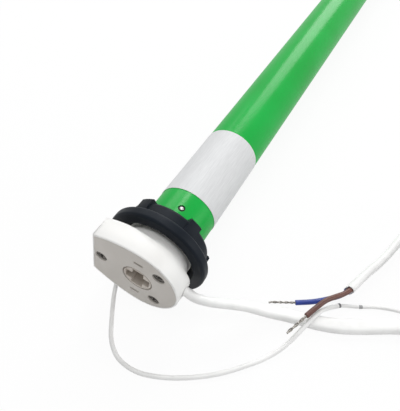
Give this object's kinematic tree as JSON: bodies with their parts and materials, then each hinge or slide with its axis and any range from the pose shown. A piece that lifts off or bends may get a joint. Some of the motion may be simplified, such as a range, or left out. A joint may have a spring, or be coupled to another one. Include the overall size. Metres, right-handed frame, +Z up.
{
  "type": "tubular roller blind motor",
  "caption": "Slim tubular gear motor that turns a roller blind from inside its tube: D-shaped head with bracket socket, idler crown, green tube, drive wheel, flat power cord and aerial wire.",
  "frame": {"origin": "centre of the bracket socket in the plane of the head's face", "axes": "+X along the tube from the head to the drive wheel, +Z up as the motor lies, +Y to the side that the flat of the head faces"},
  "size_m": [0.4136, 0.1895, 0.042],
  "materials": {
    "white_plastic": "satin moulded white plastic",
    "face_plastic": "fine matt texture",
    "steel": "bright steel",
    "black_plastic": "satin moulded black plastic",
    "pom": "natural acetal",
    "green_paint": "gloss green powder coat",
    "label_film": "silver-white film",
    "tray_plastic": "moulded dark grey",
    "board": "green solder mask",
    "chip": "moulded epoxy",
    "transformer_tape": "yellow tape and ferrite",
    "capacitor_sleeve": "printed sleeve left bare",
    "can_steel": "zinc-plated steel",
    "ferrite": "sintered ferrite",
    "carbon": "carbon block",
    "bronze": "sintered bronze",
    "damper_rubber": "soft black rubber",
    "shaft_steel": "ground steel",
    "lamination": "stacked steel sheet",
    "copper": "enamelled copper",
    "pinion_brass": "hobbed brass",
    "carrier_metal": "sintered metal",
    "cord_pvc": "white flexible PVC",
    "tie": "black strap",
    "brown_pvc": "brown core insulation",
    "blue_pvc": "blue core insulation",
    "tinned": "tinned copper strands",
    "lead_film": "thin translucent insulation"
  },
  "bodies": {
    "root": {"head_housing": "white_plastic", "cord_gland": "white_plastic", "face_plate": "face_plastic", "bracket_socket": "face_plastic", "face_screws": "steel", "tube_rivets": "steel", "crown_bush": "pom", "motor_flange": "pom", "gearbox_cap": "pom", "ring_gear": "pom", "motor_tube": "green_paint", "rating_label": "label_film", "board_tray": "tray_plastic", "motor_end_cap": "tray_plastic", "supply_board": "board", "control_board": "board", "hall_board": "board", "board_chips": "chip", "transformer": "transformer_tape", "capacitors": "capacitor_sleeve", "motor_can": "can_steel", "motor_magnets": "ferrite", "motor_brushes": "carbon", "motor_bushes": "bronze", "output_bush": "bronze", "damper_rings": "damper_rubber", "power_cord_lead": "cord_pvc", "power_cord_coil": "cord_pvc", "power_cord_tail": "cord_pvc", "aerial_sleeve": "cord_pvc", "cord_tie": "tie", "brown_core": "brown_pvc", "blue_core": "blue_pvc", "bare_conductors": "tinned", "aerial_lead": "lead_film"},
    "crown": {"crown": "black_plastic"},
    "rotor": {"rotor_shaft": "shaft_steel", "rotor_core": "lamination", "rotor_windings": "copper", "commutator": "copper", "encoder_magnet": "ferrite", "motor_pinion": "pinion_brass"},
    "carrier_1": {"carrier_1": "carrier_metal", "pins_1": "shaft_steel"},
    "carrier_2": {"carrier_2": "carrier_metal", "pins_2": "shaft_steel"},
    "output": {"output_shaft": "shaft_steel", "pins_3": "shaft_steel", "drive_wheel": "black_plastic", "drive_screw": "steel"},
    "planet_1_1": {"planet_1_1": "pom"},
    "planet_1_2": {"planet_1_2": "pom"},
    "planet_1_3": {"planet_1_3": "pom"},
    "planet_2_1": {"planet_2_1": "pom"},
    "planet_2_2": {"planet_2_2": "pom"},
    "planet_2_3": {"planet_2_3": "pom"},
    "planet_3_1": {"planet_3_1": "pom"},
    "planet_3_2": {"planet_3_2": "pom"},
    "planet_3_3": {"planet_3_3": "pom"}
  },
  "joints": [
    {"name": "crown_spin", "type": "hinge", "parent": "root", "child": "crown", "pos_m": [0.018, 0, 0], "axis": [1, 0, 0], "continuous": true},
    {"name": "rotor_spin", "type": "hinge", "parent": "root", "child": "rotor", "pos_m": [0.27, 0, 0], "axis": [1, 0, 0], "continuous": true},
    {"name": "carrier_1_spin", "type": "hinge", "parent": "root", "child": "carrier_1", "pos_m": [0.32, 0, 0], "axis": [1, 0, 0], "continuous": true},
    {"name": "carrier_2_spin", "type": "hinge", "parent": "root", "child": "carrier_2", "pos_m": [0.33, 0, 0], "axis": [1, 0, 0], "continuous": true},
    {"name": "output_spin", "type": "hinge", "parent": "root", "child": "output", "pos_m": [0.37, 0, 0], "axis": [1, 0, 0], "continuous": true},
    {"name": "planet_1_1_spin", "type": "hinge", "parent": "carrier_1", "child": "planet_1_1", "pos_m": [0.3163, 0.00607, 0], "axis": [1, 0, 0], "continuous": true},
    {"name": "planet_1_2_spin", "type": "hinge", "parent": "carrier_1", "child": "planet_1_2", "pos_m": [0.3163, -0.00304, 0.00526], "axis": [1, 0, 0], "continuous": true},
    {"name": "planet_1_3_spin", "type": "hinge", "parent": "carrier_1", "child": "planet_1_3", "pos_m": [0.3163, -0.00304, -0.00526], "axis": [1, 0, 0], "continuous": true},
    {"name": "planet_2_1_spin", "type": "hinge", "parent": "carrier_2", "child": "planet_2_1", "pos_m": [0.3267, 0.00607, 0], "axis": [1, 0, 0], "continuous": true},
    {"name": "planet_2_2_spin", "type": "hinge", "parent": "carrier_2", "child": "planet_2_2", "pos_m": [0.3267, -0.00304, 0.00526], "axis": [1, 0, 0], "continuous": true},
    {"name": "planet_2_3_spin", "type": "hinge", "parent": "carrier_2", "child": "planet_2_3", "pos_m": [0.3267, -0.00304, -0.00526], "axis": [1, 0, 0], "continuous": true},
    {"name": "planet_3_1_spin", "type": "hinge", "parent": "output", "child": "planet_3_1", "pos_m": [0.3397, 0.00607, 0], "axis": [1, 0, 0], "continuous": true},
    {"name": "planet_3_2_spin", "type": "hinge", "parent": "output", "child": "planet_3_2", "pos_m": [0.3397, -0.00304, 0.00526], "axis": [1, 0, 0], "continuous": true},
    {"name": "planet_3_3_spin", "type": "hinge", "parent": "output", "child": "planet_3_3", "pos_m": [0.3397, -0.00304, -0.00526], "axis": [1, 0, 0], "continuous": true}
  ],
  "couplings": [
    {"joint": "carrier_1_spin", "follows": "rotor_spin", "ratio": 0.22222},
    {"joint": "carrier_2_spin", "follows": "rotor_spin", "ratio": 0.049383},
    {"joint": "output_spin", "follows": "rotor_spin", "ratio": 0.010974},
    {"joint": "planet_1_1_spin", "follows": "rotor_spin", "ratio": -0.62222},
    {"joint": "planet_1_2_spin", "follows": "rotor_spin", "ratio": -0.62222},
    {"joint": "planet_1_3_spin", "follows": "rotor_spin", "ratio": -0.62222},
    {"joint": "planet_2_1_spin", "follows": "rotor_spin", "ratio": -0.13827},
    {"joint": "planet_2_2_spin", "follows": "rotor_spin", "ratio": -0.13827},
    {"joint": "planet_2_3_spin", "follows": "rotor_spin", "ratio": -0.13827},
    {"joint": "planet_3_1_spin", "follows": "rotor_spin", "ratio": -0.030727},
    {"joint": "planet_3_2_spin", "follows": "rotor_spin", "ratio": -0.030727},
    {"joint": "planet_3_3_spin", "follows": "rotor_spin", "ratio": -0.030727}
  ]
}
